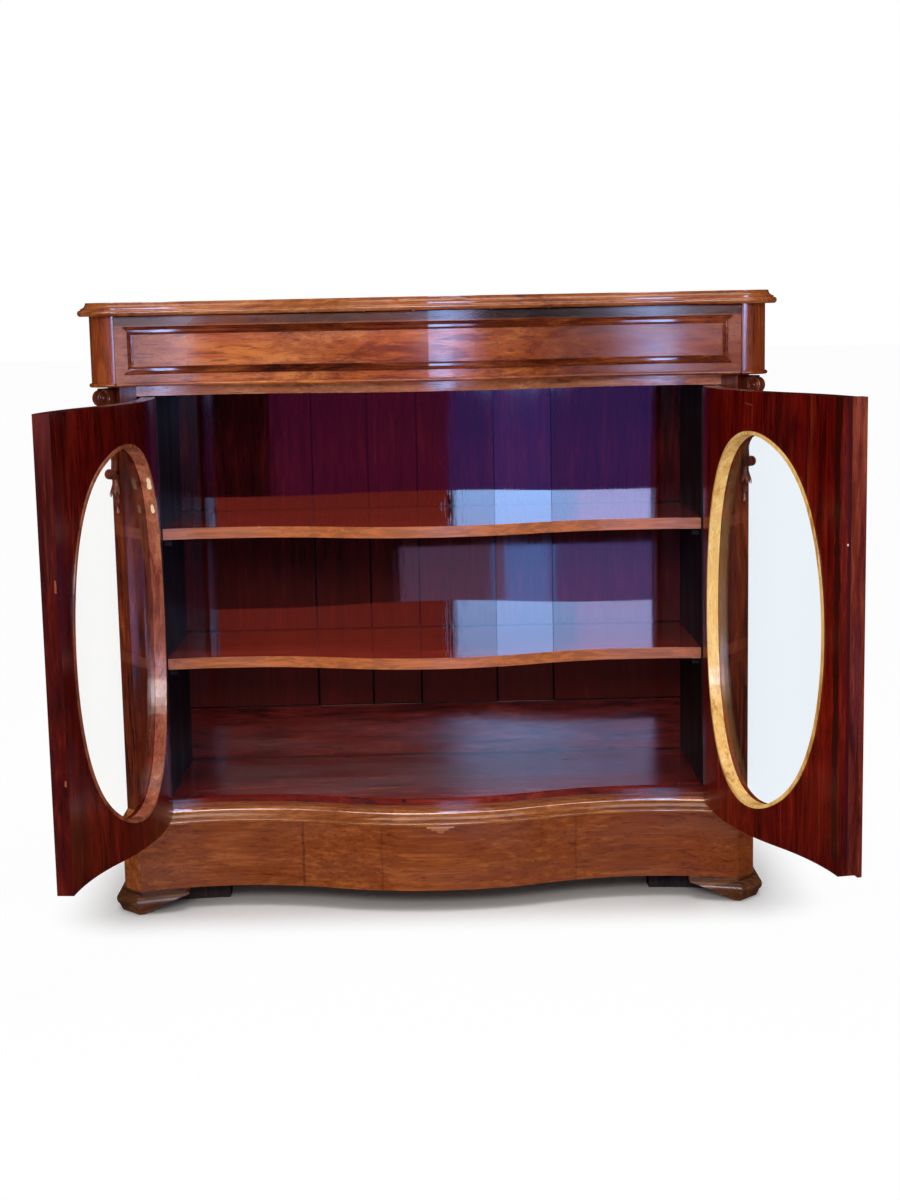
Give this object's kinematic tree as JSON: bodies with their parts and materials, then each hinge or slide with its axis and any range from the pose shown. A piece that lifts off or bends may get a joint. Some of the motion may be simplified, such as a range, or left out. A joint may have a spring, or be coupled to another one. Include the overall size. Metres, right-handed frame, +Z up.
{
  "type": "display cabinet",
  "caption": "Serpentine-fronted mahogany display cabinet with oval-glazed doors standing open, a frieze drawer, carved scroll corbels and shelves.",
  "frame": {"origin": "on the floor, in the middle of the box round the cabinet as it stands in the picture, with its doors open", "axes": "+X to the right along the front, +Z up, the front faces -Y"},
  "size_m": [1.1394, 0.7776, 0.99],
  "materials": {
    "mahogany": "french polished",
    "inside_wood": "polished, dark",
    "frame_wood": "bare, darkened",
    "drawer_wood": "bare",
    "bead_wood": "waxed",
    "glass": "clear",
    "brass": "aged"
  },
  "bodies": {
    "carcass": {"top_board": "mahogany", "frieze_block_left": "mahogany", "frieze_block_right": "mahogany", "frieze_side_left": "mahogany", "frieze_side_right": "mahogany", "front_post_left": "mahogany", "front_post_right": "mahogany", "corbel_left": "mahogany", "corbel_right": "mahogany", "end_board_left": "mahogany", "end_board_right": "mahogany", "side_lining_left": "inside_wood", "side_lining_right": "inside_wood", "back_board_1": "inside_wood", "back_board_2": "inside_wood", "back_board_3": "inside_wood", "back_board_4": "inside_wood", "back_board_5": "inside_wood", "back_board_6": "inside_wood", "back_bottom_rail": "inside_wood", "bottom_board": "inside_wood", "base_moulding_front": "mahogany", "base_moulding_left": "mahogany", "base_moulding_right": "mahogany", "plinth_front": "mahogany", "plinth_side_left": "mahogany", "plinth_side_right": "mahogany", "plinth_back": "frame_wood", "front_foot_left": "mahogany", "front_foot_right": "mahogany", "foot_blocks": "frame_wood", "rear_feet": "frame_wood", "upper_shelf": "inside_wood", "lower_shelf": "inside_wood", "shelf_bearers": "inside_wood", "drawer_rail": "mahogany", "drawer_runner_left": "drawer_wood", "drawer_runner_right": "drawer_wood", "drawer_kickers": "drawer_wood", "hinge_leaves_fixed": "brass", "hinge_pins": "brass", "hinge_screws_fixed": "brass", "door_stop": "brass"},
    "left_door": {"door_left": "mahogany", "glass_left": "glass", "glazing_bead_left": "bead_wood", "hinge_leaves_left": "brass", "hinge_screws_left": "brass"},
    "right_door": {"door_right": "mahogany", "glass_right": "glass", "glazing_bead_right": "bead_wood", "door_astragal": "mahogany", "hinge_leaves_right": "brass", "hinge_screws_right": "brass"},
    "drawer": {"drawer_front": "mahogany", "drawer_moulding": "mahogany", "drawer_side_left": "drawer_wood", "drawer_side_right": "drawer_wood", "drawer_back": "drawer_wood", "drawer_bottom": "drawer_wood"}
  },
  "joints": [
    {"name": "left_door_hinge", "type": "hinge", "parent": "carcass", "child": "left_door", "pos_m": [-0.48224, 0.07093, 0.5], "axis": [0, 0, 1], "range_deg": [-20, 94.7]},
    {"name": "right_door_hinge", "type": "hinge", "parent": "carcass", "child": "right_door", "pos_m": [0.44276, 0.07093, 0.5], "axis": [0, 0, 1], "range_deg": [-100.6, 14]},
    {"name": "frieze_drawer_slide", "type": "slide", "parent": "carcass", "child": "drawer", "axis": [0, -1, 0], "range_m": [0, 0.22]}
  ]
}
